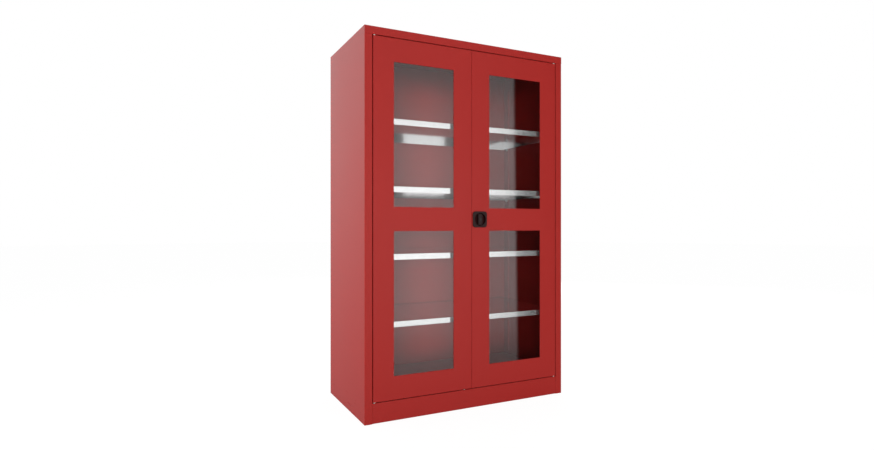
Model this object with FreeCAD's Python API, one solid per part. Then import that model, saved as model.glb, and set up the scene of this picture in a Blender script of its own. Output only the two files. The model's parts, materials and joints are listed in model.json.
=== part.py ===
"""Steel storage cabinet with two hinged window doors, four shelves and a rod lock.

Millimetres. X runs to the right, Y into the cabinet and Z up. The origin is on the ground, in the middle of the
cabinet's footprint with its handle. Depths called v are measured back from the front faces of the doors.
"""
import math
import os

import FreeCAD
import Part

Vector = FreeCAD.Vector

# Overall size
cabinet_width = 1200.0
cabinet_depth = 600.0
cabinet_height = 1950.0

# Sheet metal
carcass_sheet = 1.2
door_sheet = 1.0
shelf_sheet = 1.0
bend_radius = 1.0
panel_clearance = 0.3
cut_overrun = 5.0

# Front frame
stile_width = 40.0
jamb_depth = 17.0
jamb_lip = 14.0
rear_flange = 25.0
base_flange = 25.0
base_flange_setback = 30.0
header_height = 40.0
roof_rear_flange = 30.0
stop_depth = 19.5
stop_lip = 20.0
plinth_height = 100.0
plinth_setback = 2.0
plinth_foot = 28.0
floor_step = 15.0
floor_skirt = 25.0

# Doors
door_gap = 4.0
meeting_gap = 1.2
door_depth = 16.0
door_lip = 12.0
door_edge_radius = 1.5
window_side_margin = 109.0
window_end_margin = 118.0
window_middle_band = 122.0
window_corner_radius = 2.0

# Window panes and the frames that hold them
pane_thickness = 3.0
pane_overlap = 12.0
pane_corner_radius = 6.0
frame_sheet = 1.2
frame_lip_setback = 3.0
frame_pane_clearance = 1.0
frame_flange = 10.0
stud_diameter = 4.0
stud_stand = 6.0
stud_hole_clearance = 0.2
nut_flats = 7.0
nut_height = 3.0
studs_per_upright_side = 3

# Door pivots
pivot_edge_distance = 8.0
pivot_depth = 7.0
pivot_diameter = 6.0
pivot_reach_in_door = 9.0
pivot_reach_in_frame = 7.0
pivot_collar_diameter = 11.0
pivot_collar_height = 1.5
running_clearance = 0.05
bush_diameter = 10.0
bush_length = 11.0
bush_seat_gap = 0.3

# Door buffers
buffer_diameter = 9.0
buffer_gap = 0.3
buffer_inset = 6.0
buffer_meeting_distance = 100.0
buffer_hinge_distance = 110.0

# Shelves
shelf_count = 4
lowest_shelf_top = 490.0
shelf_pitch = 340.0
shelf_lip = 30.0
shelf_setback = 20.5
shelf_rear_gap = 2.0
shelf_edge_radius = 1.6

# Slotted uprights and shelf clips
upright_web = 24.0
upright_depth = 8.0
upright_foot = 10.0
upright_end_gap = 20.0
front_upright_depth = 62.0
rear_upright_inset = 48.0
slot_pitch = 34.0
slot_width = 4.0
slot_height = 14.0
clip_sheet = 2.0
clip_width = 18.0
clip_ledge = 13.0
clip_rise = 9.0
clip_drop = 11.0
clip_tip = 3.0
clip_side_gap = 3.0
clip_tongue_depth = 4.0
clip_tongue_clearance = 0.4

# Handle on the right door
handle_backset = 47.9
escutcheon_width = 86.0
escutcheon_height = 86.0
escutcheon_proud = 8.0
escutcheon_corner = 16.0
escutcheon_edge = 2.5
cup_diameter = 68.0
cup_wall = 2.0
cup_depth_behind_face = 5.0
cup_hole_clearance = 0.5
boss_diameter = 9.0
boss_inset = 9.0
boss_hole_clearance = 0.3
grip_width = 24.0
grip_rim_clearance = 2.0
grip_corner = 4.0
grip_proud = 12.0
grip_edge = 3.0
grip_base_thickness = 2.0
grip_gap = 0.3
key_plug_diameter = 14.0
key_plug_length = 11.0
key_plug_setback = 0.3
key_slot_width = 1.8
key_slot_height = 8.0
key_slot_depth = 6.0

# Rod lock behind the handle
gear_module = 2.0
pinion_teeth = 12
pressure_angle_degrees = 25.0
gear_backlash = 0.3
pinion_thickness = 4.4
spindle_diameter = 12.0
spindle_square = 8.0
lock_sheet = 1.2
lock_length = 80.0
lock_rod_clearance = 0.3
lock_front_gap = 1.1
lock_rear_gap = 0.6
rod_width = 12.0
rod_thickness = 4.0
rod_end_setback = 0.5
rod_tip_taper = 3.0
rod_slot_clearance = 0.6
rod_tail = 3.0
keeper_clearance = 2.0
guide_wall = 5.0
guide_length = 14.0
guide_clearance = 0.3
guide_end_distance = 40.0
guide_middle_share = 0.5
tongue_length = 65.0
tongue_width = 16.0
tongue_thickness = 3.0
tongue_lip_gap = 1.0
screw_diameter = 4.0
screw_head_diameter = 7.0
screw_head_height = 2.0
screw_length = 6.0
screw_hole_clearance = 0.1

# Foot bolt on the left door
foot_bolt_backset = 39.4
foot_bolt_diameter = 10.0
foot_bolt_length = 165.0
foot_bolt_depth = 9.0
foot_bolt_peep = 3.4
foot_bolt_hole_clearance = 0.3
foot_keeper_clearance = 0.5
bracket_sheet = 2.0
bracket_width = 28.0
bracket_height = 110.0
bracket_lift = 30.0
bracket_ear_reach = 3.0
knob_diameter = 11.0
knob_length = 9.0
knob_stem_diameter = 5.0
knob_stem_length = 9.0
knob_rise_share = 0.5

# Places that follow from the sizes above
half_width = cabinet_width / 2
front_y = (grip_proud - cabinet_depth) / 2
wall_inside = half_width - carcass_sheet
header_bottom = cabinet_height - header_height
door_bottom = plinth_height + door_gap
door_top = header_bottom - door_gap
hinge_edge = half_width - stile_width - door_gap
meeting_edge = meeting_gap / 2
pivot_x = hinge_edge - pivot_edge_distance
floor_top = plinth_height + floor_step
back_front = cabinet_depth - carcass_sheet - carcass_sheet
window_outer = hinge_edge - window_side_margin
window_inner = meeting_edge + window_side_margin
window_height = (door_top - door_bottom - 2 * window_end_margin - window_middle_band) / 2
lower_window_bottom = door_bottom + window_end_margin
upper_window_bottom = door_top - window_end_margin - window_height
window_bottoms = {"lower": lower_window_bottom, "upper": upper_window_bottom}
frame_foot = pane_overlap + frame_pane_clearance + frame_sheet
frame_reach = frame_foot + frame_flange
lock_x = meeting_edge + handle_backset
lock_z = (door_bottom + door_top) / 2
pitch_radius = gear_module * pinion_teeth / 2
rack_tip = pitch_radius - gear_module
rod_outer = rack_tip + rod_width
cup_floor_back = cup_depth_behind_face + cup_wall
case_inside = cup_floor_back + lock_sheet
rod_front = case_inside + lock_front_gap
rod_back = rod_front + rod_thickness
case_back = rod_back + lock_rear_gap
cover_back = case_back + lock_sheet
tongue_front = door_depth + tongue_lip_gap
rod_throw = pitch_radius * math.pi / 2
foot_bolt_x = -(meeting_edge + foot_bolt_backset)
upright_web_x = wall_inside - upright_depth
rear_upright_depth = cabinet_depth - rear_upright_inset
shelf_half_width = upright_web_x - clip_sheet - clip_side_gap
shelf_tops = [lowest_shelf_top + level * shelf_pitch for level in range(shelf_count)]
shelf_names = ["bottom_shelf", "lower_shelf", "upper_shelf", "top_shelf"]


def at(x, v, z):
    """Point at depth v behind the door fronts."""
    return Vector(x, front_y + v, z)


def slab(x0, x1, v0, v1, z0, z1):
    """Block between two corners, given in either order."""
    xs = sorted((x0, x1))
    return Part.makeBox(xs[1] - xs[0], v1 - v0, z1 - z0, at(xs[0], v0, z0))


def rod_v(x, v0, v1, z, diameter):
    """Round bar that runs into the cabinet."""
    return Part.makeCylinder(diameter / 2, v1 - v0, at(x, v0, z), Vector(0, 1, 0))


def rod_z(x, v, z0, z1, diameter):
    """Upright round bar."""
    return Part.makeCylinder(diameter / 2, z1 - z0, at(x, v, z0), Vector(0, 0, 1))


def rounded_face(points, radii, place):
    """Face of a closed outline whose corners are rounded with the given radii."""
    count = len(points)
    edges = []
    last = None
    first = None
    for i in range(count):
        here = Vector(*points[i], 0)
        back = (Vector(*points[i - 1], 0) - here).normalize()
        ahead = (Vector(*points[(i + 1) % count], 0) - here).normalize()
        if radii[i] > 0:
            half = back.getAngle(ahead) / 2
            reach = radii[i] / math.tan(half)
            start = here + back * reach
            end = here + ahead * reach
            bisector = (back + ahead).normalize()
            middle = here + bisector * (radii[i] / math.sin(half) - radii[i])
        else:
            start = end = here
        if last is not None:
            edges.append(Part.LineSegment(place(last), place(start)).toShape())
        else:
            first = start
        if radii[i] > 0:
            edges.append(Part.Arc(place(start), place(middle), place(end)).toShape())
        last = end
    edges.append(Part.LineSegment(place(last), place(first)).toShape())
    return Part.Face(Part.Wire(edges))


def folded_sheet(path, thickness, place, along):
    """Sheet folded along a path, which is one of its faces. The sheet lies on the left of the path."""
    points = [Vector(a, b, 0) for a, b in path]
    runs = [(points[i + 1] - points[i]).normalize() for i in range(len(points) - 1)]
    normals = [Vector(-run.y, run.x, 0) for run in runs]
    outer_radii = [0]
    inner = [points[0] + normals[0] * thickness]
    inner_radii = [0]
    for i in range(1, len(points) - 1):
        mitre = (normals[i - 1] + normals[i]) / (1 + normals[i - 1].dot(normals[i]))
        inner.append(points[i] + mitre * thickness)
        left_turn = runs[i - 1].cross(runs[i]).z > 0
        outer_radii.append(bend_radius + thickness if left_turn else bend_radius)
        inner_radii.append(bend_radius if left_turn else bend_radius + thickness)
    outer_radii.append(0)
    inner_radii.append(0)
    inner.append(points[-1] + normals[-1] * thickness)
    outline = [(p.x, p.y) for p in points + inner[::-1]]
    return rounded_face(outline, outer_radii + inner_radii[::-1], place).extrude(along)


def in_plan(z):
    """Places outline points (x, v) at a height."""
    return lambda p: at(p.x, p.y, z)


def in_section(x):
    """Places outline points (v, z) at a distance from the middle."""
    return lambda p: at(x, p.x, p.y)


def in_front(v):
    """Places outline points (x, z) at a depth."""
    return lambda p: at(p.x, v, p.y)


def rounded_block(x0, x1, z0, z1, radius, v0, v1):
    """Block with rounded corners as seen from the front."""
    xs = sorted((x0, x1))
    corners = [(xs[0], z0), (xs[1], z0), (xs[1], z1), (xs[0], z1)]
    return rounded_face(corners, [radius] * len(corners), in_front(v0)).extrude(Vector(0, v1 - v0, 0))


def mirrored(shape):
    """The same piece for the other side of the cabinet."""
    return shape.mirror(Vector(0, 0, 0), Vector(1, 0, 0))


def joined(first, *others):
    return first.fuse(list(others)).removeSplitter()


def less(shape, cutters):
    return shape.cut(list(cutters))


def edges_where(shape, test):
    return [edge for edge in shape.Edges if test(edge)]


def front_edges(shape, v):
    """Edges of a shape that lie in the plane at depth v."""
    y = front_y + v
    tolerance = running_clearance / 10
    return edges_where(shape, lambda e: all(abs(p.Point.y - y) < tolerance for p in e.Vertexes))


def save(name, shape):
    solids = shape.Solids
    shape = solids[0] if len(solids) == 1 else Part.makeCompound(solids)
    shape.exportStep(os.path.join("parts", name + ".step"))


# Carcass


def left_side_panel():
    """Wall, stile with its jamb, rear flange and base flange of one side."""
    wall = -half_width
    path = [
        (wall + rear_flange, cabinet_depth),
        (wall, cabinet_depth),
        (wall, 0),
        (wall + stile_width, 0),
        (wall + stile_width, jamb_depth),
        (wall + stile_width - jamb_lip, jamb_depth),
    ]
    panel_top = cabinet_height - carcass_sheet
    panel = folded_sheet(path, carcass_sheet, in_plan(0), Vector(0, 0, panel_top))
    stile_end = wall + stile_width + cut_overrun
    notch = slab(wall - cut_overrun, stile_end, -cut_overrun, carcass_sheet, header_bottom, cabinet_height)
    jamb_notch = slab(-wall_inside, stile_end, 0, jamb_depth + cut_overrun, header_bottom, cabinet_height)
    foot_end = cabinet_depth - base_flange_setback
    foot = slab(-wall_inside, base_flange - wall_inside, base_flange_setback, foot_end, 0, carcass_sheet)
    return joined(less(panel, [notch, jamb_notch]), foot)


def roof_panel():
    """Roof, header across the stiles, and the stop lip behind the door tops."""
    path = [
        (cabinet_depth, cabinet_height - roof_rear_flange),
        (cabinet_depth, cabinet_height),
        (0, cabinet_height),
        (0, header_bottom),
        (stop_depth, header_bottom),
        (stop_depth, header_bottom - stop_lip),
    ]
    roof = folded_sheet(path, carcass_sheet, in_section(-half_width), Vector(cabinet_width, 0, 0))
    roof_under = cabinet_height - carcass_sheet
    lip_bottom = header_bottom - stop_lip - cut_overrun
    cuts = []
    for side in (-1, 1):
        end = side * (half_width + cut_overrun)
        wall_room = side * (wall_inside - panel_clearance)
        cuts.append(slab(end, wall_room, carcass_sheet, cabinet_depth + cut_overrun, lip_bottom, roof_under))
        flange_end = side * (half_width - rear_flange - panel_clearance)
        flange_room = cabinet_depth - rear_flange
        cuts.append(slab(end, flange_end, flange_room, cabinet_depth + cut_overrun, lip_bottom, roof_under))
        cuts.append(pivot_hole(side * pivot_x, header_bottom))
    cuts.append(keeper_slot(1, header_bottom))
    return less(roof, cuts)


def pivot_hole(x, z):
    diameter = pivot_diameter + 2 * running_clearance
    return rod_z(x, pivot_depth, z - cut_overrun, z + cut_overrun, diameter)


def keeper_slot(side, z):
    """Slot that a locking rod enters, on one side of the lock."""
    near = lock_x + side * (rack_tip - keeper_clearance)
    far = lock_x + side * (rod_outer + keeper_clearance)
    v0 = rod_front - keeper_clearance
    return slab(near, far, v0, rod_back + keeper_clearance, z - cut_overrun, z + cut_overrun)


def plinth():
    """Kick plate between the stiles, with the ledge under the doors."""
    path = [
        (stop_depth, plinth_height),
        (plinth_setback, plinth_height),
        (plinth_setback, 0),
        (plinth_setback + plinth_foot, 0),
    ]
    end = half_width - stile_width - panel_clearance
    plate = folded_sheet(path, carcass_sheet, in_section(-end), Vector(2 * end, 0, 0))
    bolt_hole = foot_bolt_diameter + 2 * foot_keeper_clearance
    bolt_bottom = plinth_height - cut_overrun
    bolt_top = plinth_height + cut_overrun
    cuts = [
        pivot_hole(-pivot_x, plinth_height),
        pivot_hole(pivot_x, plinth_height),
        keeper_slot(-1, plinth_height),
        rod_z(foot_bolt_x, foot_bolt_depth, bolt_bottom, bolt_top, bolt_hole),
    ]
    return less(plate, cuts)


def floor_panel():
    """Raised floor whose front step is the lower door stop."""
    rear = back_front - panel_clearance
    skirt_bottom = floor_top - floor_skirt
    path = [
        (rear, skirt_bottom),
        (rear, floor_top),
        (stop_depth, floor_top),
        (stop_depth, skirt_bottom),
    ]
    end = wall_inside - panel_clearance
    floor = folded_sheet(path, carcass_sheet, in_section(-end), Vector(2 * end, 0, 0))
    front = stop_depth + carcass_sheet
    skirts = [
        slab(side * end, side * (end - carcass_sheet), front, rear - carcass_sheet, skirt_bottom,
             floor_top - bend_radius)
        for side in (-1, 1)
    ]
    return joined(floor, *skirts)


def back_panel():
    edge = carcass_sheet + bend_radius + panel_clearance
    x = half_width - edge
    return slab(-x, x, back_front, back_front + carcass_sheet, edge, cabinet_height - edge)


def left_upright(depth):
    """Hat strip on the left wall with a row of slots for the shelf clips."""
    foot = carcass_sheet - wall_inside
    web = -upright_web_x
    half = upright_web / 2
    path = [
        (foot, depth - half - upright_foot),
        (foot, depth - half),
        (web, depth - half),
        (web, depth + half),
        (foot, depth + half),
        (foot, depth + half + upright_foot),
    ]
    bottom = floor_top + upright_end_gap
    top = header_bottom - stop_lip - upright_end_gap
    strip = folded_sheet(path, carcass_sheet, in_plan(bottom), Vector(0, 0, top - bottom))
    first = lowest_shelf_top - shelf_lip
    steps_down = math.floor((first - bottom - slot_height) / slot_pitch)
    steps_up = math.floor((top - first - slot_height) / slot_pitch)
    cuts = []
    for step in range(-steps_down, steps_up + 1):
        z = first + step * slot_pitch
        v0 = depth - slot_width / 2
        cuts.append(slab(web - upright_depth / 2, web + cut_overrun, v0, v0 + slot_width,
                         z - slot_height / 2, z + slot_height / 2))
    return less(strip, cuts)


def left_clip(depth, ledge_z):
    """Clip that hooks into an upright and carries a shelf corner."""
    web = -upright_web_x
    inner = web + clip_sheet
    tip = inner + clip_ledge
    outline = [
        (web, ledge_z - clip_drop),
        (inner, ledge_z - clip_drop),
        (inner, ledge_z - clip_sheet),
        (tip, ledge_z - clip_sheet),
        (tip, ledge_z + clip_tip),
        (tip - clip_sheet, ledge_z + clip_tip),
        (tip - clip_sheet, ledge_z),
        (inner, ledge_z),
        (inner, ledge_z + clip_rise),
        (web, ledge_z + clip_rise),
    ]
    body = rounded_face(outline, [0] * len(outline), in_front(depth - clip_width / 2))
    body = body.extrude(Vector(0, clip_width, 0))
    half_v = slot_width / 2 - clip_tongue_clearance
    half_z = slot_height / 2 - clip_tongue_clearance
    tongue = slab(web - clip_tongue_depth, web, depth - half_v, depth + half_v, ledge_z - half_z, ledge_z + half_z)
    return joined(body, tongue)


def shelf_clips():
    clips = []
    for top in shelf_tops:
        for depth in (front_upright_depth, rear_upright_depth):
            clip = left_clip(depth, top - shelf_lip)
            clips += [clip, mirrored(clip)]
    return Part.makeCompound(clips)


def shelf(top):
    """Shelf pressed as an upside-down tray."""
    rear = back_front - shelf_rear_gap
    bottom = top - shelf_lip
    tray = slab(-shelf_half_width, shelf_half_width, shelf_setback, rear, bottom, top)
    tray = tray.makeFillet(shelf_edge_radius, edges_where(tray, lambda e: e.CenterOfMass.z > bottom))
    x = shelf_half_width - shelf_sheet
    inside = slab(-x, x, shelf_setback + shelf_sheet, rear - shelf_sheet, bottom - cut_overrun, top - shelf_sheet)
    return less(tray, [inside])


def pivot_pins():
    """Pins fixed in the header and in the plinth ledge, on which the doors turn."""
    pins = []
    for x in (-pivot_x, pivot_x):
        for frame_z, way in ((plinth_height, 1), (header_bottom, -1)):
            door_z = frame_z + way * door_gap
            ends = sorted((frame_z - way * pivot_reach_in_frame, door_z + way * pivot_reach_in_door))
            collar = sorted((frame_z, frame_z + way * pivot_collar_height))
            pin = rod_z(x, pivot_depth, ends[0], ends[1], pivot_diameter)
            pins.append(joined(pin, rod_z(x, pivot_depth, collar[0], collar[1], pivot_collar_diameter)))
    return Part.makeCompound(pins)


def door_buffers():
    """Rubber discs on the stop lips, which the door rims meet."""
    discs = []
    for side in (-1, 1):
        for x in (buffer_meeting_distance, pivot_x - buffer_hinge_distance):
            for z in (door_bottom + buffer_inset, door_top - buffer_inset):
                discs.append(rod_v(side * x, door_depth + buffer_gap, stop_depth, z, buffer_diameter))
    return Part.makeCompound(discs)


# Doors, drawn for the right-hand side


def door_pan():
    """Pressed door skin with its rims, return lips and two window openings."""
    pan = slab(meeting_edge, hinge_edge, 0, door_depth, door_bottom, door_top)
    pan = pan.makeFillet(door_edge_radius, front_edges(pan, 0))
    inside = slab(meeting_edge + door_sheet, hinge_edge - door_sheet, door_sheet, door_depth - door_sheet,
                  door_bottom + door_sheet, door_top - door_sheet)
    mouth = slab(meeting_edge + door_lip, hinge_edge - door_lip, door_depth / 2, door_depth + cut_overrun,
                 door_bottom + door_lip, door_top - door_lip)
    cuts = [inside, mouth]
    for bottom in window_bottoms.values():
        cuts.append(rounded_block(window_inner, window_outer, bottom, bottom + window_height,
                                  window_corner_radius, -cut_overrun, door_depth / 2))
    bush_hole = bush_diameter + 2 * running_clearance
    for z in (door_bottom, door_top):
        cuts.append(rod_z(pivot_x, pivot_depth, z - door_sheet, z + door_sheet, bush_hole))
    return less(pan, cuts)


def right_door_panel():
    cup_hole = cup_diameter + 2 * cup_wall + 2 * cup_hole_clearance
    cuts = [rod_v(lock_x, -cut_overrun, door_depth / 2, lock_z, cup_hole)]
    boss_hole = boss_diameter + 2 * boss_hole_clearance
    for x, z in boss_places():
        cuts.append(rod_v(x, -cut_overrun, door_depth / 2, z, boss_hole))
    for side, z in ((1, door_top), (-1, door_bottom)):
        near = lock_x + side * (rack_tip - rod_slot_clearance)
        far = lock_x + side * (rod_outer + rod_slot_clearance)
        cuts.append(slab(near, far, rod_front - rod_slot_clearance, rod_back + rod_slot_clearance,
                         z - 2 * door_sheet, z + 2 * door_sheet))
    return less(door_pan(), cuts)


def left_door_panel():
    hole = foot_bolt_diameter + 2 * foot_bolt_hole_clearance
    z0 = door_bottom - door_sheet
    cut = rod_z(foot_bolt_x, foot_bolt_depth, z0, door_bottom + 2 * door_sheet, hole)
    return less(mirrored(door_pan()), [cut])


def window_ring(bottom, inner, outer, v0, v1):
    """Rectangular ring round a window, between two distances outside its edge."""
    top = bottom + window_height
    ring = slab(window_inner - outer, window_outer + outer, v0, v1, bottom - outer, top + outer)
    hole = slab(window_inner - inner, window_outer + inner, v0 - cut_overrun, v1 + cut_overrun,
                bottom - inner, top + inner)
    return less(ring, [hole])


def pane(bottom):
    x0 = window_inner - pane_overlap
    x1 = window_outer + pane_overlap
    top = bottom + window_height + pane_overlap
    back = door_sheet + pane_thickness
    return rounded_block(x0, x1, bottom - pane_overlap, top, pane_corner_radius, door_sheet, back)


def stud_places(bottom):
    """Middle lines of the frame flange, shared out evenly up both sides and once along each end."""
    line = (frame_foot + frame_reach) / 2
    middle = (window_inner + window_outer) / 2
    places = [(middle, bottom - line), (middle, bottom + window_height + line)]
    step = window_height / studs_per_upright_side
    for x in (window_inner - line, window_outer + line):
        for i in range(studs_per_upright_side):
            places.append((x, bottom + step / 2 + i * step))
    return places


def pane_frame(bottom):
    """Folded frame that holds a pane against the door skin from behind."""
    pane_back = door_sheet + pane_thickness
    frame_back = pane_back + frame_sheet
    wall = frame_foot - frame_sheet
    lip = window_ring(bottom, frame_lip_setback, frame_foot, pane_back, frame_back)
    upright = window_ring(bottom, wall, frame_foot, door_sheet, frame_back)
    flange = window_ring(bottom, wall, frame_reach, door_sheet, door_sheet + frame_sheet)
    hole = stud_diameter + 2 * stud_hole_clearance
    holes = [rod_v(x, 0, frame_back, z, hole) for x, z in stud_places(bottom)]
    return less(joined(lip, upright, flange), holes)


def frame_studs():
    """Studs on the door skin with the nuts that clamp the pane frames."""
    nut_front = door_sheet + frame_sheet
    across_corners = nut_flats / math.cos(math.pi / 6)
    studs = []
    for bottom in window_bottoms.values():
        for x, z in stud_places(bottom):
            ring = Part.makePolygon([
                at(x + across_corners / 2 * math.cos(i * math.pi / 3), nut_front,
                   z + across_corners / 2 * math.sin(i * math.pi / 3))
                for i in range(7)
            ])
            nut = Part.Face(ring).extrude(Vector(0, nut_height, 0))
            studs.append(joined(nut, rod_v(x, door_sheet, door_sheet + stud_stand, z, stud_diameter)))
    return Part.makeCompound(studs)


def pivot_bushes():
    """Flanged bushes in the door rims that turn on the pivot pins."""
    bore = pivot_diameter + 2 * running_clearance
    flange_height = door_gap - pivot_collar_height - bush_seat_gap
    bushes = []
    for rim_z, way in ((door_bottom, 1), (door_top, -1)):
        body = sorted((rim_z, rim_z + way * bush_length))
        flange = sorted((rim_z, rim_z - way * flange_height))
        bush = joined(rod_z(pivot_x, pivot_depth, body[0], body[1], bush_diameter),
                      rod_z(pivot_x, pivot_depth, flange[0], flange[1], pivot_collar_diameter))
        bushes.append(less(bush, [pivot_hole_through(rim_z, bore)]))
    return Part.makeCompound(bushes)


def pivot_hole_through(z, diameter):
    reach = bush_length + cut_overrun
    return rod_z(pivot_x, pivot_depth, z - reach, z + reach, diameter)


# Handle and rod lock


def boss_places():
    """Corners of the escutcheon where its fixing bosses stand."""
    dx = escutcheon_width / 2 - boss_inset
    dz = escutcheon_height / 2 - boss_inset
    return [(lock_x + sx * dx, lock_z + sz * dz) for sx in (-1, 1) for sz in (-1, 1)]


def escutcheon():
    """Moulded plate with a round cup for the fingers."""
    dx = escutcheon_width / 2
    dz = escutcheon_height / 2
    plate = rounded_block(lock_x - dx, lock_x + dx, lock_z - dz, lock_z + dz, escutcheon_corner,
                          -escutcheon_proud, 0)
    plate = plate.makeFillet(escutcheon_edge, front_edges(plate, -escutcheon_proud))
    shell = rod_v(lock_x, -escutcheon_edge, cup_floor_back, lock_z, cup_diameter + 2 * cup_wall)
    bosses = [rod_v(x, -escutcheon_edge, cup_floor_back, z, boss_diameter) for x, z in boss_places()]
    body = joined(plate, shell, *bosses)
    hole = screw_diameter + 2 * screw_hole_clearance
    cuts = [
        rod_v(lock_x, -escutcheon_proud - cut_overrun, cup_depth_behind_face, lock_z, cup_diameter),
        rod_v(lock_x, 0, cup_floor_back + cut_overrun, lock_z, spindle_diameter + 2 * running_clearance),
    ]
    for x, z in boss_places():
        cuts.append(rod_v(x, cup_floor_back - screw_length, cup_floor_back + cut_overrun, z, hole))
    return less(body, cuts)


def grip():
    """Turning bar on a round base that fills the foot of the cup."""
    back = cup_depth_behind_face - grip_gap
    base_radius = cup_diameter / 2 - grip_rim_clearance
    half_length = math.sqrt(base_radius ** 2 - (grip_width / 2) ** 2)
    bar_back = back - grip_base_thickness / 2
    bar = rounded_block(lock_x - grip_width / 2, lock_x + grip_width / 2, lock_z - half_length,
                        lock_z + half_length, grip_corner, -grip_proud, bar_back)
    bar = bar.makeFillet(grip_edge, front_edges(bar, -grip_proud))
    base = rod_v(lock_x, back - grip_base_thickness, back, lock_z, 2 * base_radius)
    plug_hole = key_plug_diameter + 2 * running_clearance
    plug_back = key_plug_length + key_plug_setback - grip_proud
    hole = rod_v(lock_x, -grip_proud - cut_overrun, plug_back, lock_z, plug_hole)
    return less(joined(bar, base), [hole])


def key_plug():
    """Cylinder in the grip with an upright key slot."""
    face = key_plug_setback - grip_proud
    plug = rod_v(lock_x, face, face + key_plug_length, lock_z, key_plug_diameter)
    slot = slab(lock_x - key_slot_width / 2, lock_x + key_slot_width / 2, face - cut_overrun,
                face + key_slot_depth, lock_z - key_slot_height / 2, lock_z + key_slot_height / 2)
    return less(plug, [slot])


def spindle():
    """Round journal in the cup floor, then the square that carries pinion and tongue."""
    front = cup_depth_behind_face - grip_gap
    pinion_front = (rod_front + rod_back - pinion_thickness) / 2
    half = spindle_square / 2
    tongue_back = tongue_front + tongue_thickness
    square = slab(lock_x - half, lock_x + half, pinion_front, tongue_back, lock_z - half, lock_z + half)
    body = joined(rod_v(lock_x, front, pinion_front, lock_z, spindle_diameter), square)
    hole = screw_diameter + 2 * screw_hole_clearance
    return less(body, [rod_v(lock_x, tongue_back - screw_length, tongue_back + cut_overrun, lock_z, hole)])


def square_hole(v0, v1):
    half = spindle_square / 2 + running_clearance
    return slab(lock_x - half, lock_x + half, v0 - cut_overrun, v1 + cut_overrun, lock_z - half, lock_z + half)


def involute(radius, base):
    """Polar angle that an involute has turned through at a radius."""
    roll = math.sqrt(max(radius * radius - base * base, 0)) / base
    return roll - math.atan(roll)


def pinion():
    """Involute pinion with a round hub that runs in the lock cover."""
    pressure = math.radians(pressure_angle_degrees)
    base = pitch_radius * math.cos(pressure)
    tip = pitch_radius + gear_module
    root = pitch_radius - gear_module - gear_module / 4
    half_tooth = math.pi / (2 * pinion_teeth) - gear_backlash / (4 * pitch_radius)
    at_base = half_tooth + involute(pitch_radius, base)
    flank_shares = (0.0, 0.33, 0.67, 1.0)
    front = (rod_front + rod_back - pinion_thickness) / 2
    flank = [(root, at_base)]
    for share in flank_shares:
        radius = base + share * (tip - base)
        flank.append((radius, at_base - involute(radius, base)))
    corners = []
    for tooth in range(pinion_teeth):
        middle = 2 * math.pi * tooth / pinion_teeth
        corners += [(r, middle - a) for r, a in flank]
        corners += [(r, middle + a) for r, a in flank[::-1]]
    points = [at(lock_x + r * math.cos(a), front, lock_z + r * math.sin(a)) for r, a in corners]
    wheel = Part.Face(Part.makePolygon(points + points[:1])).extrude(Vector(0, pinion_thickness, 0))
    hub = rod_v(lock_x, front + pinion_thickness / 2, tongue_front, lock_z, spindle_diameter)
    return less(joined(wheel, hub), [square_hole(front, tongue_front)])


def tongue():
    """Cam on the end of the spindle that turns behind the left door's lip."""
    half = tongue_width / 2
    back = tongue_front + tongue_thickness
    bar = rounded_block(lock_x - half, lock_x + half, lock_z - half, lock_z + tongue_length,
                        half - running_clearance, tongue_front, back)
    return less(bar, [square_hole(tongue_front, back)])


def screw(x, z, seat, way):
    """Round-headed screw whose head sits on a face at depth seat."""
    ends = sorted((seat - way * (screw_length - screw_hole_clearance), seat))
    head = sorted((seat, seat + way * screw_head_height))
    return joined(rod_v(x, ends[0], ends[1], z, screw_diameter),
                  rod_v(x, head[0], head[1], z, screw_head_diameter))


def tongue_screw():
    return screw(lock_x, lock_z, tongue_front + tongue_thickness, 1)


def lock_case():
    """Pressed tray that holds pinion and rods, on a flange screwed to the escutcheon bosses."""
    dx = escutcheon_width / 2
    dz = escutcheon_height / 2
    flange = rounded_block(lock_x - dx, lock_x + dx, lock_z - dz, lock_z + dz, escutcheon_corner,
                           cup_floor_back, case_inside)
    inner = rod_outer + lock_rod_clearance
    outer = inner + lock_sheet
    half = lock_length / 2
    tray = slab(lock_x - outer, lock_x + outer, cup_floor_back, case_back, lock_z - half, lock_z + half)
    body = joined(flange, tray)
    hole = screw_diameter + 2 * screw_hole_clearance
    cuts = [
        slab(lock_x - inner, lock_x + inner, case_inside, case_back + cut_overrun,
             lock_z - half + lock_sheet, lock_z + half - lock_sheet),
        rod_v(lock_x, 0, door_depth, lock_z, spindle_diameter + 2 * running_clearance),
    ]
    for side in (-1, 1):
        near = lock_x + side * (rack_tip - lock_rod_clearance)
        z = lock_z + side * half
        cuts.append(slab(near, lock_x + side * inner, case_inside, case_back + cut_overrun,
                         z - 2 * lock_sheet, z + 2 * lock_sheet))
    cuts += [rod_v(x, 0, door_depth, z, hole) for x, z in boss_places()]
    return less(body, cuts)


def lock_cover():
    """Plate that closes the lock case and bears the pinion's hub."""
    outer = rod_outer + lock_rod_clearance + lock_sheet
    half = lock_length / 2
    plate = slab(lock_x - outer, lock_x + outer, case_back, cover_back, lock_z - half, lock_z + half)
    return less(plate, [rod_v(lock_x, 0, 2 * door_depth, lock_z, spindle_diameter + 2 * running_clearance)])


def lock_screws():
    return Part.makeCompound([screw(x, z, case_inside, 1) for x, z in boss_places()])


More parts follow.
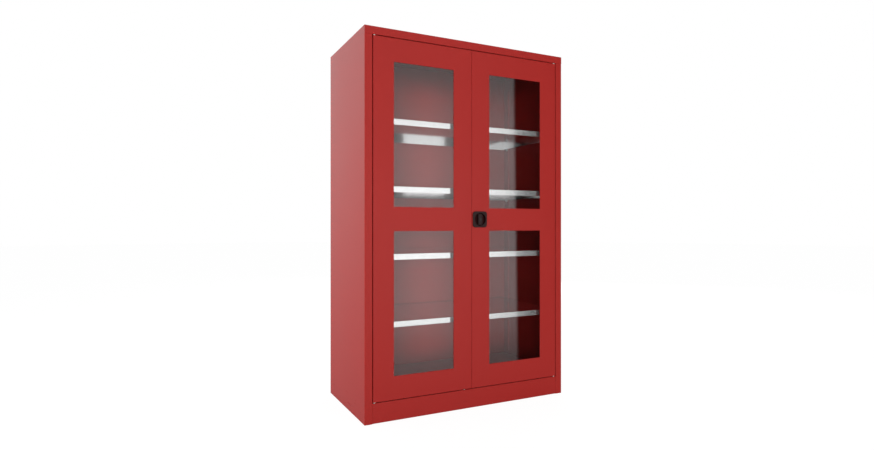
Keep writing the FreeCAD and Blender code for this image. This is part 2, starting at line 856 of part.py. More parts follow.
def locking_rod(side):
    """Flat rod with rack teeth beside the pinion. Side 1 runs up and -1 runs down."""
    near = lock_x + side * rack_tip
    far = lock_x + side * rod_outer
    pitch = math.pi * gear_module
    reach = math.sqrt((pitch_radius + gear_module) ** 2 - rack_tip ** 2)
    spaces_behind = math.ceil((rod_throw + reach) / pitch)
    spaces_ahead = math.ceil(reach / pitch)
    tail = lock_z - side * (spaces_behind * pitch + pitch / 2 + rod_tail)
    end_face = door_top - rod_end_setback if side > 0 else door_bottom + rod_end_setback
    taper = rod_tip_taper
    outline = [(near, tail), (far, tail), (far, end_face - side * taper), (far - side * taper, end_face),
               (near + side * taper, end_face), (near, end_face - side * taper)]
    bar = rounded_face(outline, [0] * len(outline), in_front(rod_front)).extrude(Vector(0, rod_thickness, 0))
    slope = math.tan(math.radians(pressure_angle_degrees))
    half_space = pitch / 4 + gear_backlash / 4
    root = pitch_radius + gear_module + gear_module / 4
    mouth = half_space + (pitch_radius - rack_tip) * slope
    bed = half_space - (root - pitch_radius) * slope
    cuts = []
    for i in range(-spaces_behind, spaces_ahead + 1):
        z = lock_z + side * i * pitch
        space = [(near, z - mouth), (lock_x + side * root, z - bed), (lock_x + side * root, z + bed),
                 (near, z + mouth)]
        face = rounded_face(space, [0] * len(space), in_front(rod_front - cut_overrun))
        cuts.append(face.extrude(Vector(0, rod_thickness + 2 * cut_overrun, 0)))
    return less(bar, cuts)


def rod_guides():
    """Plastic blocks on the door skin that steer the rods."""
    blocks = []
    for side, end in ((1, door_top), (-1, door_bottom)):
        near = lock_x + side * rack_tip
        far = lock_x + side * rod_outer
        outer_end = end - side * guide_end_distance
        middle = lock_z + guide_middle_share * (outer_end - lock_z)
        for z in (outer_end, middle):
            z0 = z - guide_length / 2
            z1 = z + guide_length / 2
            block = slab(near - side * guide_wall, far + side * guide_wall, door_sheet, cover_back, z0, z1)
            slot = slab(near - side * guide_clearance, far + side * guide_clearance,
                        rod_front - guide_clearance, rod_back + guide_clearance,
                        z0 - cut_overrun, z1 + cut_overrun)
            blocks.append(less(block, [slot]))
    return Part.makeCompound(blocks)


# Foot bolt of the left door


def foot_bolt_bracket():
    """Plate on the door skin with two ears that guide the bolt."""
    z0 = door_bottom + bracket_lift
    z1 = z0 + bracket_height
    half = bracket_width / 2
    back = door_sheet + bracket_sheet
    reach = foot_bolt_depth + foot_bolt_diameter / 2 + bracket_ear_reach
    path = [(reach, z0), (door_sheet, z0), (door_sheet, z1), (reach, z1)]
    strip = folded_sheet(path[::-1], bracket_sheet, in_section(foot_bolt_x - half), Vector(bracket_width, 0, 0))
    hole = foot_bolt_diameter + 2 * foot_bolt_hole_clearance
    return less(strip, [rod_z(foot_bolt_x, foot_bolt_depth, z0 - back, z1 + back, hole)])


def foot_bolt_rod():
    tip = door_bottom - foot_bolt_peep
    bolt = rod_z(foot_bolt_x, foot_bolt_depth, tip, tip + foot_bolt_length, foot_bolt_diameter)
    stem_hole = knob_stem_diameter + 2 * running_clearance
    knob_z = foot_knob_height()
    return less(bolt, [rod_v(foot_bolt_x, foot_bolt_depth, door_depth, knob_z, stem_hole)])


def foot_knob_height():
    return door_bottom + bracket_lift + knob_rise_share * bracket_height


def foot_bolt_knob():
    """Turned knob on a stem set into the bolt."""
    z = foot_knob_height()
    start = foot_bolt_depth
    neck = start + knob_stem_length
    stem = rod_v(foot_bolt_x, start, neck, z, knob_stem_diameter)
    head = rod_v(foot_bolt_x, neck, neck + knob_length, z, knob_diameter)
    head = head.makeFillet(knob_length / 4, front_edges(head, neck + knob_length))
    return joined(stem, head)


os.makedirs("parts", exist_ok=True)

side_panel = left_side_panel()
save("left_side_panel", side_panel)
save("right_side_panel", mirrored(side_panel))
save("roof_panel", roof_panel())
save("plinth", plinth())
save("floor_panel", floor_panel())
save("back_panel", back_panel())
for place, depth in (("front", front_upright_depth), ("rear", rear_upright_depth)):
    upright = left_upright(depth)
    save("left_" + place + "_upright", upright)
    save("right_" + place + "_upright", mirrored(upright))
for name, top in zip(shelf_names, shelf_tops):
    save(name, shelf(top))
save("shelf_clips", shelf_clips())
save("pivot_pins", pivot_pins())
save("door_buffers", door_buffers())

save("left_door_panel", left_door_panel())
save("right_door_panel", right_door_panel())
for level, bottom in window_bottoms.items():
    save("right_door_" + level + "_pane", pane(bottom))
    save("left_door_" + level + "_pane", mirrored(pane(bottom)))
    save("right_door_" + level + "_frame", pane_frame(bottom))
    save("left_door_" + level + "_frame", mirrored(pane_frame(bottom)))
save("right_door_frame_studs", frame_studs())
save("left_door_frame_studs", mirrored(frame_studs()))
save("right_door_bushes", pivot_bushes())
save("left_door_bushes", mirrored(pivot_bushes()))

save("handle_escutcheon", escutcheon())
save("handle_grip", grip())
save("key_plug", key_plug())
save("handle_spindle", spindle())
save("lock_pinion", pinion())
save("lock_tongue", tongue())
save("tongue_screw", tongue_screw())
save("lock_case", lock_case())
save("lock_cover", lock_cover())
save("lock_screws", lock_screws())
save("upper_locking_rod", locking_rod(1))
save("lower_locking_rod", locking_rod(-1))
save("rod_guides", rod_guides())
save("foot_bolt_bracket", foot_bolt_bracket())
save("foot_bolt_rod", foot_bolt_rod())
save("foot_bolt_knob", foot_bolt_knob())
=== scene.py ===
import json
import math

import bmesh
import bpy
from mathutils import Matrix, Vector


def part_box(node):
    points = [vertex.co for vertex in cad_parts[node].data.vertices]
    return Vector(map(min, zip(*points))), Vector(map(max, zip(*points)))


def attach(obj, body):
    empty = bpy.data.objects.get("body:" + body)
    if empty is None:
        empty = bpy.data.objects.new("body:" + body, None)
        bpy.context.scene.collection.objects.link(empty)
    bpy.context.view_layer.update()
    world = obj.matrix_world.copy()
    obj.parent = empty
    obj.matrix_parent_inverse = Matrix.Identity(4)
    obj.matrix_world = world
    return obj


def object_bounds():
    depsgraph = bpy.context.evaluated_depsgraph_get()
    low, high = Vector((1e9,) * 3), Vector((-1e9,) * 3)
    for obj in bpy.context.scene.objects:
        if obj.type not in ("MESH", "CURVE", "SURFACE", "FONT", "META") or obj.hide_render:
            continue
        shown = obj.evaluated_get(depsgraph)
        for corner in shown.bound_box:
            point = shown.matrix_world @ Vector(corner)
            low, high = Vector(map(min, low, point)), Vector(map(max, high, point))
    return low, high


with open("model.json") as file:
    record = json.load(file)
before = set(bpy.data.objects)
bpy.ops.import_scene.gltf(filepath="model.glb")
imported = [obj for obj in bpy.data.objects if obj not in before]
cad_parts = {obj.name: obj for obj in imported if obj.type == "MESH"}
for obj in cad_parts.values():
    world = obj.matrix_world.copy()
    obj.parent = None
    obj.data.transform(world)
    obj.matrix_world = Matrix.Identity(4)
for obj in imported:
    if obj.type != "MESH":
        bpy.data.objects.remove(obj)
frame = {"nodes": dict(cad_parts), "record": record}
cad_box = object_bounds()

# Sizes of the cabinet, in metres
MM = 0.001
SHEET = 1.2 * MM
BRACKET_SHEET = 2.0 * MM
UPRIGHT_FOOT = 10 * MM
REAR_FLANGE = 25 * MM
GRIP_PROUD = 12 * MM
CUP_RADIUS = 34 * MM
CABINET_RIGHT = cad_box[1][0]
CABINET_BACK = cad_box[1][1]
DOOR_FRONT = cad_box[0][1] + GRIP_PROUD
SHELF_FRONT, SHELF_REAR = (corner.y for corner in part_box("top_shelf"))

# Grain and marks of the finishes
ORANGE_PEEL_DEPTH = 0.15 * MM
MOULDED_GRAIN_DEPTH = 0.12 * MM
FINE_GRAIN_DEPTH = 0.1 * MM
WELD_PITCH = 150 * MM
WELD_RADIUS = 4 * MM
WELD_DEPTH = 0.5 * MM
KICK_MARKS_TOP = 130 * MM
KICK_MARKS_FULL = 20 * MM
LIP_DULL_END = 4 * MM
LIP_DULL_FULL = 2 * MM
# Band of painted shade at the rear of each shelf
SHELF_REAR_SHADE_WIDTH = 50 * MM
SHELF_REAR_SHADE_FULL = 20 * MM
# Depth over which painted shade darkens the finger cup
CUP_SHADE_DEPTH = 3.5 * MM

# Heads of the fasteners
UPRIGHT_RIVET = {"radius": 3.2 * MM, "height": 1.3 * MM}
BACK_RIVET = {"radius": 3.0 * MM, "height": 1.2 * MM}
GUIDE_SCREW = {"radius": 2.1 * MM, "height": 1.2 * MM, "recessed": True}
COVER_SCREW = {"radius": 2.6 * MM, "height": 1.1 * MM, "recessed": True}
BRACKET_RIVET = {"radius": 2.6 * MM, "height": 1.3 * MM}
HEAD_SIDES = 20
HEAD_TOP_SHARE = 0.86
HEAD_ROUNDING_SHARE = 0.45
RECESS_RIM_SHARE = 0.25
RECESS_SLOPE_SHARE = 0.06
RECESS_DEPTH_SHARE = 0.5

# Places of the fasteners
UPRIGHT_RIVETS_IN_LINE = 9
UPRIGHT_RIVET_END = 40 * MM
BACK_RIVETS_UP = 12
BACK_RIVETS_ACROSS = 9
BACK_RIVET_INSET = 9 * MM
BACK_RIVETS_BELOW_ROOF = 18 * MM
BACK_RIVETS_ABOVE_FLOOR = 30 * MM
GUIDE_SCREW_INSET = 2.5 * MM
GUIDE_LEAST_GAP = 10 * MM
COVER_SCREW_INSET = 4.5 * MM
BRACKET_RIVET_SIDE = 5 * MM
BRACKET_RIVET_END = 22 * MM

# Beads of the handle
CUP_BEAD_RADIUS = 1.1 * MM
CUP_BEAD_MARGIN = 1.2 * MM
CUP_BEAD_SINK = 0.3 * MM
COLLAR_BEAD_RADIUS = 0.7 * MM
COLLAR_BEAD_MARGIN = 0.9 * MM
COLLAR_BEAD_SINK = 0.75 * MM
BEAD_SIDES = 10
BEAD_STEPS = 72
MERGE_DISTANCE = 0.01 * MM
SMOOTH_ANGLE = math.radians(35)

# Photograph's camera
IMAGE_WIDTH = 874
FOCAL_PIXELS = 560
SENSOR_WIDTH = 36
CLIP_START = 0.05
CAMERA_PLACE = Vector((-1.4995, -2.885, 0.975))
CAMERA_HEADING = Vector((0.4464, 0.8949, 0))

# Light and floor of the studio
STUDIO_LEVEL = 0.42
SOFTBOX_LEVEL = 1.42
SOFTBOX_RIM_SHARE = 0.62
SOFTBOX_EDGE = math.radians(34.5)
SOFTBOX_EDGE_BLUR = 0.004
SOFTBOX_EDGE_LEAN = 0.013
DARK_LEVEL = 0.015
REAR_WALL_LEVEL = 0.32
REAR_WALL_GAIN = 0.92
FLOOR_RADIUS = 30
FLOOR_SIDES = 96
FLOOR_WHITE_LEVEL = 1.06
FLOOR_WHITE_SHARE = 0.9
CABINET_MIDDLE = (0, 0, 1.0)
LOWER_LEFT_SIDE = (0, 0, 0.35)
LAMPS = {
    "overhead_softbox": {"place": (0.0, 0.8, 4.3), "aim": CABINET_MIDDLE, "size": (2.0, 2.0), "watts": 40},
    "rear_softbox": {"place": (4.6, 4.8, 1.5), "aim": CABINET_MIDDLE, "size": (2.6, 1.6), "watts": 200},
    "left_fill": {"place": (-3.4, 0.1, 0.45), "aim": LOWER_LEFT_SIDE, "size": (2.2, 0.8), "watts": 52},
    "left_softbox": {"place": (-2.8, -7.2, 1.15), "aim": CABINET_MIDDLE, "size": (2.6, 1.6), "watts": 147},
    "right_softbox": {"place": (2.6, -7.3, 1.15), "aim": CABINET_MIDDLE, "size": (2.6, 1.6), "watts": 172},
}


# Node trees


class Value:
    """One socket that carries a number, with arithmetic that adds Math nodes."""

    def __init__(self, nodes, socket):
        self.nodes = nodes
        self.socket = socket

    def math(self, operation, first, second=0.0):
        node = self.nodes.add("Math", {"operation": operation}, {0: first, 1: second})
        return Value(self.nodes, node.outputs[0])

    def __add__(self, other):
        return self.math("ADD", self, other)

    def __radd__(self, other):
        return self.math("ADD", other, self)

    def __sub__(self, other):
        return self.math("SUBTRACT", self, other)

    def __rsub__(self, other):
        return self.math("SUBTRACT", other, self)

    def __mul__(self, other):
        return self.math("MULTIPLY", self, other)

    def __rmul__(self, other):
        return self.math("MULTIPLY", other, self)

    def __mod__(self, other):
        return self.math("FLOORED_MODULO", self, other)

    def __abs__(self):
        return self.math("ABSOLUTE", self)

    def root(self):
        return self.math("SQRT", self)

    def larger(self, other):
        return self.math("MAXIMUM", self, other)

    def smaller(self, other):
        return self.math("MINIMUM", self, other)

    def rise(self, low, high):
        """0 up to low, 1 from high and a smooth step between. With low above high it falls from 1 to 0."""
        if low > high:
            return 1 - self.rise(high, low)
        settings = {"interpolation_type": "SMOOTHSTEP"}
        inputs = {"Value": self, "From Min": low, "From Max": high}
        return Value(self.nodes, self.nodes.add("MapRange", settings, inputs).outputs["Result"])


class Nodes:
    """Builds one node tree from empty."""

    def __init__(self, tree):
        self.tree = tree
        tree.nodes.clear()

    def add(self, kind, settings=None, inputs=None):
        node = self.tree.nodes.new("ShaderNode" + kind)
        for name, setting in (settings or {}).items():
            setattr(node, name, setting)
        for name, value in (inputs or {}).items():
            self.feed(node.inputs[name], value)
        return node

    def feed(self, socket, value):
        if isinstance(value, Value):
            self.tree.links.new(value.socket, socket)
        elif isinstance(value, bpy.types.NodeSocket):
            self.tree.links.new(value, socket)
        else:
            socket.default_value = value

    def place(self):
        return self.add("TexCoord").outputs["Object"]

    def axes(self, vector):
        parts = self.add("SeparateXYZ", None, {0: vector})
        return [Value(self, socket) for socket in parts.outputs]

    def facing(self):
        """How much the surface faces along each axis, from -1 to 1."""
        return self.axes(self.add("NewGeometry").outputs["Normal"])

    def ray_is(self, kind):
        return Value(self, self.add("LightPath").outputs[kind])

    def stretched(self, scale):
        """Object coordinates, scaled differently along each axis."""
        return self.add("Mapping", None, {"Vector": self.place(), "Scale": scale}).outputs[0]

    def noise(self, scale, detail, vector=None):
        inputs = {"Vector": vector or self.place(), "Scale": scale, "Detail": detail}
        return Value(self, self.add("TexNoise", None, inputs).outputs[0])

    def cells(self, scale):
        """A random number for each cell of a crystal-like pattern."""
        colour = self.add("TexVoronoi", None, {"Vector": self.place(), "Scale": scale}).outputs["Color"]
        return self.axes(colour)[0]

    def blend(self, share, first, second):
        """Colour between two colours."""
        return self.add("Mix", {"data_type": "RGBA"}, {0: share, 6: first, 7: second}).outputs[2]

    def bumps(self, height, strength, depth, below=None):
        """Normal of a bumpy surface, which may lie on another one."""
        inputs = {"Height": height, "Strength": strength, "Distance": depth}
        if below:
            inputs["Normal"] = below
        return self.add("Bump", None, inputs).outputs["Normal"]


def rgb(red, green, blue):
    return (red, green, blue, 1.0)


def surface(name, recipe, change=None):
    """Material with one Principled shader, fed by the recipe. A change may then be made to that shader."""
    material = bpy.data.materials.new(name)
    material.use_nodes = True
    nodes = Nodes(material.node_tree)
    shader = nodes.add("BsdfPrincipled", None, recipe(nodes)).outputs[0]
    if change:
        shader = change(nodes, shader)
    nodes.add("OutputMaterial", None, {"Surface": shader})
    return material


# Finishes


def red_powder_coat(nodes):
    """Satin coat with orange peel, a dusty roof, kick marks low down and weld dimples on the back."""
    x, y, z = nodes.axes(nodes.place())
    drift = nodes.noise(2.4, 3.0)
    streaks = nodes.noise(14, 4.0, nodes.stretched((1, 1, 7)))
    kicks = streaks.rise(0.58, 0.72) * z.rise(KICK_MARKS_TOP, KICK_MARKS_FULL)
    rubs = nodes.noise(60, 3.0).rise(0.60, 0.75) * 0.25
    dust_and_shade = nodes.facing()[2].rise(0.85, 0.98) * (0.25 + 0.5 * nodes.noise(9, 5.0))
    coat = nodes.blend(drift, rgb(0.328, 0.0165, 0.0135), rgb(0.352, 0.0200, 0.0165))
    coat = nodes.blend(kicks * 0.2, coat, rgb(0.16, 0.02, 0.018))
    coat = nodes.blend(dust_and_shade * 0.10, coat, rgb(0.45, 0.40, 0.38))
    rough = 0.27 + 0.07 * drift + 0.18 * kicks + 0.10 * dust_and_shade + 0.12 * rubs
    peel = nodes.noise(520, 2.0) + 0.5 * nodes.noise(1500, 1.0)
    across = abs(x) - (CABINET_RIGHT - REAR_FLANGE / 2)
    along = z % WELD_PITCH - WELD_PITCH / 2
    dimple = (across * across + along * along).root().rise(WELD_RADIUS, WELD_RADIUS / 2)
    dimple = dimple * y.rise(CABINET_BACK - SHEET, CABINET_BACK - SHEET / 2)
    normal = nodes.bumps(1 - dimple, 0.6, WELD_DEPTH, nodes.bumps(peel, 0.10, ORANGE_PEEL_DEPTH))
    return {"Base Color": coat, "Roughness": rough, "IOR": 1.3, "Normal": normal}


def bright_shelf_zinc(nodes):
    """Galvanised sheet with small spangles, rolling marks, a dulled front lip and painted shade at the rear,
    where the shelf meets the back panel.
    """
    y = nodes.axes(nodes.place())[1]
    _, backward, upward = nodes.facing()
    dulled = y.rise(SHELF_FRONT + LIP_DULL_END, SHELF_FRONT + LIP_DULL_FULL) * backward.rise(-0.8, -0.97)
    # Painted shade: the upward-facing rear band of each shelf, where it meets the back panel, is darkened
    # almost to black and made rougher
    dust_and_shade = y.rise(SHELF_REAR - SHELF_REAR_SHADE_WIDTH, SHELF_REAR - SHELF_REAR_SHADE_FULL) * upward.rise(0.85, 0.98)
    spangle = nodes.cells(95)
    rolled = nodes.noise(420, 3.0, nodes.stretched((0.03, 1, 1)))
    tone = nodes.blend(spangle, rgb(0.57, 0.57, 0.57), rgb(0.63, 0.63, 0.63))
    # Painted shade colour of the shelf's rear band
    tone = nodes.blend(dust_and_shade * 0.85, tone, rgb(0.10, 0.09, 0.085))
    tone = nodes.blend(dulled, tone, rgb(0.61, 0.61, 0.61))
    metal = 1 - 0.15 * dulled
    rough = 0.08 + 0.035 * spangle + 0.04 * rolled + 0.1 * dust_and_shade
    normal = nodes.bumps(spangle * 0.3 + rolled, 0.04, FINE_GRAIN_DEPTH)
    return {"Base Color": tone, "Metallic": metal, "Roughness": rough, "Normal": normal}


def plated_steel(nodes):
    """Zinc plate on small pressed and turned parts."""
    cloud = nodes.noise(160, 4.0)
    drawn = nodes.noise(900, 2.0, nodes.stretched((1, 1, 0.05)))
    tone = nodes.blend(cloud, rgb(0.62, 0.63, 0.65), rgb(0.76, 0.75, 0.71))
    normal = nodes.bumps(drawn, 0.06, FINE_GRAIN_DEPTH)
    return {"Base Color": tone, "Metallic": 1.0, "Roughness": 0.24 + 0.14 * cloud, "Normal": normal}


def clear_acrylic(nodes):
    """Polished pane with faint wipe marks."""
    wipes = nodes.noise(5, 5.0, nodes.stretched((1, 1, 0.35)))
    rough = 0.005 + 0.02 * wipes.rise(0.5, 0.8)
    tint = rgb(0.995, 0.998, 0.998)
    return {"Base Color": tint, "Roughness": rough, "IOR": 1.49, "Transmission Weight": 1.0}


def let_light_through(nodes, shader):
    """Lets lamps shine straight through a clear sheet, which a refracting shader stops."""
    straight = nodes.ray_is("Is Shadow Ray").larger(nodes.ray_is("Is Diffuse Ray"))
    open_air = nodes.add("BsdfTransparent", None, {"Color": rgb(0.97, 0.97, 0.97)})
    return nodes.add("MixShader", None, {0: straight, 1: shader, 2: open_air.outputs[0]}).outputs[0]


def black_moulding(nodes):
    """Grained black plastic, a little polished where hands touch it, with painted shade and a duller surface
    in the finger cup.
    """
    y = nodes.axes(nodes.place())[1]
    handled = nodes.noise(55, 2.0)
    # Painted shade: surfaces deeper than the door front in the finger cup are painted darker and redder, and
    # made rougher
    painted_cup_shade = y.rise(DOOR_FRONT - CUP_SHADE_DEPTH, DOOR_FRONT)
    tone = nodes.blend(handled, rgb(0.018, 0.009, 0.009), rgb(0.028, 0.012, 0.012))
    tone = nodes.blend(painted_cup_shade, tone, rgb(0.016, 0.0015, 0.0015))
    rough = 0.36 + 0.14 * handled + 0.4 * painted_cup_shade
    normal = nodes.bumps(nodes.noise(2600, 3.0), 0.16, MOULDED_GRAIN_DEPTH)
    return {"Base Color": tone, "Roughness": rough, "IOR": 1.3, "Normal": normal}


def blackened_plug(nodes):
    """Dark plated metal of the key cylinder."""
    turned = nodes.noise(1200, 2.0)
    tone = nodes.blend(turned, rgb(0.035, 0.032, 0.032), rgb(0.060, 0.055, 0.055))
    normal = nodes.bumps(turned, 0.05, FINE_GRAIN_DEPTH)
    return {"Base Color": tone, "Metallic": 1.0, "Roughness": 0.26 + 0.08 * turned, "Normal": normal}


def natural_nylon(nodes):
    """Cloudy off-white plastic of bushes and guides."""
    cloud = nodes.noise(120, 3.0)
    tone = nodes.blend(cloud, rgb(0.66, 0.64, 0.57), rgb(0.76, 0.74, 0.68))
    normal = nodes.bumps(nodes.noise(1400, 2.0), 0.10, FINE_GRAIN_DEPTH)
    return {"Base Color": tone, "Roughness": 0.38 + 0.12 * cloud, "Normal": normal}


def matt_rubber(nodes):
    """Dull black rubber of the door buffers."""
    cloud = nodes.noise(300, 4.0)
    tone = nodes.blend(cloud, rgb(0.018, 0.018, 0.018), rgb(0.032, 0.031, 0.030))
    normal = nodes.bumps(nodes.noise(2200, 3.0), 0.25, FINE_GRAIN_DEPTH)
    return {"Base Color": tone, "Roughness": 0.72 + 0.15 * cloud, "Normal": normal}


FINISHES = {
    "red_paint": surface("red_paint", red_powder_coat),
    "shelf_zinc": surface("shelf_zinc", bright_shelf_zinc),
    "zinc_steel": surface("zinc_steel", plated_steel),
    "clear_pane": surface("clear_pane", clear_acrylic, let_light_through),
    "black_plastic": surface("black_plastic", black_moulding),
    "nylon": surface("nylon", natural_nylon),
    "rubber": surface("rubber", matt_rubber),
}
PLUG_FINISH = surface("key_plug_metal", blackened_plug)


def finish_cad_nodes():
    """Each CAD node takes the finish of its slot, and the key plug its own darker one."""
    for row in frame["record"]["subparts"]:
        mesh = frame["nodes"][row["node"]].data
        mesh.materials.clear()
        mesh.materials.append(PLUG_FINISH if row["node"] == "key_plug" else FINISHES[row["material_slot"]])


# Small fasteners


def highest_face(bm):
    return max(bm.faces, key=lambda face: (face.calc_center_median().z, len(face.verts)))


def head_shape(radius, height, recessed=False):
    """Round head that stands on the ground at the origin."""
    bm = bmesh.new()
    bmesh.ops.create_cone(bm, cap_ends=True, segments=HEAD_SIDES, radius1=radius,
                          radius2=HEAD_TOP_SHARE * radius, depth=height)
    bmesh.ops.translate(bm, verts=bm.verts, vec=(0, 0, height / 2))
    rim = list(highest_face(bm).edges)
    bmesh.ops.bevel(bm, geom=rim, offset=HEAD_ROUNDING_SHARE * height, segments=3, profile=0.5,
                    affect="EDGES", material=-1, clamp_overlap=True)
    if recessed:
        top = highest_face(bm)
        bmesh.ops.inset_individual(bm, faces=[top], thickness=RECESS_RIM_SHARE * radius)
        bmesh.ops.inset_individual(bm, faces=[top], thickness=RECESS_SLOPE_SHARE * radius,
                                   depth=-RECESS_DEPTH_SHARE * height)
    shape = bpy.data.meshes.new("head")
    bm.to_mesh(shape)
    bm.free()
    return shape


def add_piece(name, bm, body, slot):
    """Puts a finished bmesh into the scene on a body of the frame."""
    mesh = bpy.data.meshes.new(name)
    bmesh.ops.recalc_face_normals(bm, faces=bm.faces)
    bm.to_mesh(mesh)
    bm.free()
    mesh.shade_smooth()
    mesh.set_sharp_from_angle(angle=SMOOTH_ANGLE)
    mesh.materials.append(FINISHES[slot])
    piece = bpy.data.objects.new(name, mesh)
    bpy.context.scene.collection.objects.link(piece)
    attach(piece, body)


def add_heads(name, shape, places, outward, body, slot):
    """One piece made of equal heads that all point the same way."""
    bm = bmesh.new()
    turn = Vector((0, 0, 1)).rotation_difference(Vector(outward)).to_matrix().to_4x4()
    for place in places:
        before = len(bm.verts)
        bm.from_mesh(shape)
        bm.verts.ensure_lookup_table()
        bmesh.ops.transform(bm, matrix=Matrix.Translation(place) @ turn, verts=bm.verts[before:])
    add_piece(name, bm, body, slot)


def spaced(low, high, count):
    """Evenly spaced places from low to high."""
    step = (high - low) / (count - 1)
    return [low + i * step for i in range(count)]


def boxes_along_height(node, least_gap):
    """Boxes of the pieces of a node that lie one above the other."""
    points = sorted((vertex.co.copy() for vertex in frame["nodes"][node].data.vertices), key=lambda p: p.z)
    groups = [[points[0]]]
    for point in points[1:]:
        if point.z - groups[-1][-1].z > least_gap:
            groups.append([])
        groups[-1].append(point)
    boxes = []
    for group in groups:
        low = Vector(min(point[axis] for point in group) for axis in range(3))
        high = Vector(max(point[axis] for point in group) for axis in range(3))
        boxes.append((low, high))
    return boxes


def upright_rivets():
    """Rivets that hold the slotted uprights to the side walls."""
    shape = head_shape(**UPRIGHT_RIVET)
    for side, way in (("left", 1), ("right", -1)):
        for row in ("front", "rear"):
            node = side + "_" + row + "_upright"
            low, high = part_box(node)
            x = low.x + SHEET if way > 0 else high.x - SHEET
            lines = (low.y + UPRIGHT_FOOT / 2, high.y - UPRIGHT_FOOT / 2)
            heights = spaced(low.z + UPRIGHT_RIVET_END, high.z - UPRIGHT_RIVET_END, UPRIGHT_RIVETS_IN_LINE)
            places = [Vector((x, y, z)) for y in lines for z in heights]
            add_heads(node + "_rivets", shape, places, (way, 0, 0), "carcass", "red_paint")


def back_rivets():
    """Rivets along the sides and the top of the back panel, seen inside the cabinet."""
    shape = head_shape(**BACK_RIVET)
    low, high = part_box("back_panel")
    left, right = low.x + BACK_RIVET_INSET, high.x - BACK_RIVET_INSET
    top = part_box("roof_panel")[1].z - BACK_RIVETS_BELOW_ROOF
    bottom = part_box("floor_panel")[1].z + BACK_RIVETS_ABOVE_FLOOR
    places = [Vector((x, low.y, z)) for x in (left, right) for z in spaced(bottom, top, BACK_RIVETS_UP)]
    places += [Vector((x, low.y, top)) for x in spaced(left, right, BACK_RIVETS_ACROSS)[1:-1]]
    add_heads("back_panel_rivets", shape, places, (0, -1, 0), "carcass", "red_paint")


def guide_screws():
    """Two screws in each block that steers a locking rod."""
    shape = head_shape(**GUIDE_SCREW)
    places = []
    for low, high in boxes_along_height("rod_guides", GUIDE_LEAST_GAP):
        z = (low.z + high.z) / 2
        places += [Vector((x, high.y, z)) for x in (low.x + GUIDE_SCREW_INSET, high.x - GUIDE_SCREW_INSET)]
    add_heads("rod_guide_screws", shape, places, (0, 1, 0), "right_door", "zinc_steel")


def corner_places(low, high, y, side_inset, end_inset):
    """Four places near the corners of an upright rectangle."""
    sides = (low.x + side_inset, high.x - side_inset)
    ends = (low.z + end_inset, high.z - end_inset)
    return [Vector((x, y, z)) for x in sides for z in ends]


def cover_screws():
    """Screws that close the lock case."""
    low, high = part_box("lock_cover")
    places = corner_places(low, high, high.y, COVER_SCREW_INSET, COVER_SCREW_INSET)
    add_heads("lock_cover_screws", head_shape(**COVER_SCREW), places, (0, 1, 0), "right_door", "zinc_steel")


def bracket_rivets():
    """Rivets of the foot bolt's bracket."""
    low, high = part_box("foot_bolt_bracket")
    places = corner_places(low, high, low.y + BRACKET_SHEET, BRACKET_RIVET_SIDE, BRACKET_RIVET_END)
    add_heads("foot_bolt_rivets", head_shape(**BRACKET_RIVET), places, (0, 1, 0), "left_door", "zinc_steel")


# Handle trim


def bead_shape(middle, ring_radius, bead_radius):
    """Round bead about an axis that runs into the cabinet."""
    bm = bmesh.new()
    turn = Matrix.Rotation(math.pi / 2, 4, "Y")
    start = Matrix.Translation(middle + Vector((0, 0, ring_radius))) @ turn
    section = bmesh.ops.create_circle(bm, segments=BEAD_SIDES, radius=bead_radius, matrix=start)["verts"]
    edges = list({edge for vert in section for edge in vert.link_edges})
    bmesh.ops.spin(bm, geom=section + edges, cent=middle, axis=(0, 1, 0), angle=2 * math.pi,
                   steps=BEAD_STEPS, use_merge=True, use_normal_flip=False, use_duplicate=False)
    bmesh.ops.remove_doubles(bm, verts=bm.verts, dist=MERGE_DISTANCE)
    return bm


def handle_trim():
    """Bead round the finger cup and the collar round the key cylinder."""
    plate_low, plate_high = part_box("handle_escutcheon")
    middle = (plate_low + plate_high) / 2
    cup_middle = Vector((middle.x, plate_low.y + CUP_BEAD_SINK, middle.z))
    cup_bead = bead_shape(cup_middle, CUP_RADIUS + CUP_BEAD_MARGIN, CUP_BEAD_RADIUS)
    add_piece("cup_bead", cup_bead, "right_door", "black_plastic")
    plug_low, plug_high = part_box("key_plug")
    plug_radius = (plug_high.x - plug_low.x) / 2
    grip_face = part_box("handle_grip")[0].y
    collar_middle = Vector((middle.x, grip_face + COLLAR_BEAD_SINK, middle.z))
    collar = bead_shape(collar_middle, plug_radius + COLLAR_BEAD_MARGIN, COLLAR_BEAD_RADIUS)
    add_piece("key_collar", collar, "grip", "black_plastic")


# Studio


def studio_lamp(name, place, aim, size, watts):
    lamp = bpy.data.lights.new(name, "AREA")
    lamp.shape = "RECTANGLE"
    lamp.size, lamp.size_y = size
    lamp.energy = watts
    holder = bpy.data.objects.new(name, lamp)
    holder.location = place
    holder.rotation_euler = (Vector(aim) - Vector(place)).to_track_quat("-Z", "Y").to_euler()
    holder.visible_glossy = False
    holder.visible_transmission = False
    bpy.context.scene.collection.objects.link(holder)


def seen_and_mirrored(nodes):
    """1 for rays that the camera sends straight or through a pane, and 1 for rays that have met a mirror."""
    seen = nodes.ray_is("Is Camera Ray").larger(nodes.ray_is("Is Transmission Ray"))
    return seen, nodes.ray_is("Glossy Depth").smaller(1.0)


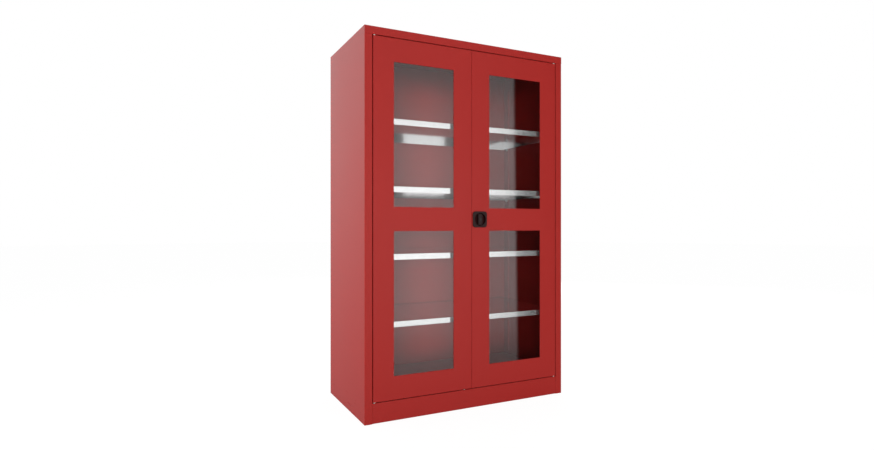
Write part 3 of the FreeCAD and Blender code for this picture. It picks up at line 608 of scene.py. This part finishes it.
def studio_room():
    """White surroundings. Mirrors see a softbox in front, which ends on the right, and a wall behind."""
    world = bpy.data.worlds.new("studio")
    world.use_nodes = True
    bpy.context.scene.world = world
    nodes = Nodes(world.node_tree)
    # A ray's direction, in which z is 0 at the horizon
    x, y, z = nodes.axes(nodes.add("TexCoord").outputs["Generated"])
    past_edge = x * math.cos(SOFTBOX_EDGE) + y * math.sin(SOFTBOX_EDGE) + SOFTBOX_EDGE_LEAN * z
    dark_side = past_edge.rise(-SOFTBOX_EDGE_BLUR, SOFTBOX_EDGE_BLUR) * y.rise(0.25, 0.0)
    glow = SOFTBOX_RIM_SHARE + (1 - SOFTBOX_RIM_SHARE) * abs(z).rise(0.28, 0.12)
    glow = glow * z.rise(-0.55, -0.24) * (1 - 0.12 * z.rise(-0.17, -0.21))
    nearer = 1 + 0.12 * past_edge.rise(-0.04, -0.16)
    low_corner = 1 - 0.3 * z.rise(-0.06, -0.25) * past_edge.rise(-0.12, -0.03)
    front = SOFTBOX_LEVEL * glow * nearer * low_corner * (1 - dark_side) + DARK_LEVEL
    rear = REAR_WALL_LEVEL + REAR_WALL_GAIN * z.rise(-0.42, 0.36)
    rear_share = y.rise(-0.1, 0.3)
    seen, mirrored = seen_and_mirrored(nodes)
    plain = STUDIO_LEVEL * (1 - seen) + seen
    level = plain * (1 - mirrored) + (front * (1 - rear_share) + rear * rear_share) * mirrored
    background = nodes.add("Background", None, {"Color": rgb(1, 1, 1), "Strength": level})
    nodes.add("OutputWorld", None, {"Surface": background.outputs[0]})


def studio_floor():
    """Pale floor that the camera sees as white, with the cabinet's shadow. Mirrors see the room instead."""
    bm = bmesh.new()
    bmesh.ops.create_circle(bm, cap_ends=True, segments=FLOOR_SIDES, radius=FLOOR_RADIUS)
    mesh = bpy.data.meshes.new("studio_floor")
    bm.to_mesh(mesh)
    bm.free()
    material = bpy.data.materials.new("studio_floor")
    material.use_nodes = True
    nodes = Nodes(material.node_tree)
    seen, mirrored = seen_and_mirrored(nodes)
    pale = nodes.add("BsdfDiffuse", None, {"Color": rgb(0.92, 0.92, 0.92)})
    white = nodes.add("Emission", None, {"Color": rgb(1, 1, 1), "Strength": FLOOR_WHITE_LEVEL})
    bare = nodes.add("BsdfTransparent")
    whiteness = seen * FLOOR_WHITE_SHARE
    lit = nodes.add("MixShader", None, {0: whiteness, 1: pale.outputs[0], 2: white.outputs[0]})
    mixed = nodes.add("MixShader", None, {0: mirrored, 1: lit.outputs[0], 2: bare.outputs[0]})
    nodes.add("OutputMaterial", None, {"Surface": mixed.outputs[0]})
    mesh.materials.append(material)
    floor = bpy.data.objects.new("studio_floor", mesh)
    bpy.context.scene.collection.objects.link(floor)


def photograph_camera():
    lens = bpy.data.cameras.new("camera")
    lens.sensor_width = SENSOR_WIDTH
    lens.lens = FOCAL_PIXELS / IMAGE_WIDTH * SENSOR_WIDTH
    lens.clip_start = CLIP_START
    camera = bpy.data.objects.new("camera", lens)
    camera.location = CAMERA_PLACE
    camera.rotation_euler = CAMERA_HEADING.to_track_quat("-Z", "Y").to_euler()
    bpy.context.scene.collection.objects.link(camera)
    bpy.context.scene.camera = camera


finish_cad_nodes()
upright_rivets()
back_rivets()
guide_screws()
cover_screws()
bracket_rivets()
handle_trim()
studio_room()
studio_floor()
for lamp_name, lamp_values in LAMPS.items():
    studio_lamp(lamp_name, **lamp_values)
photograph_camera()
bpy.context.scene.view_settings.view_transform = "Standard"
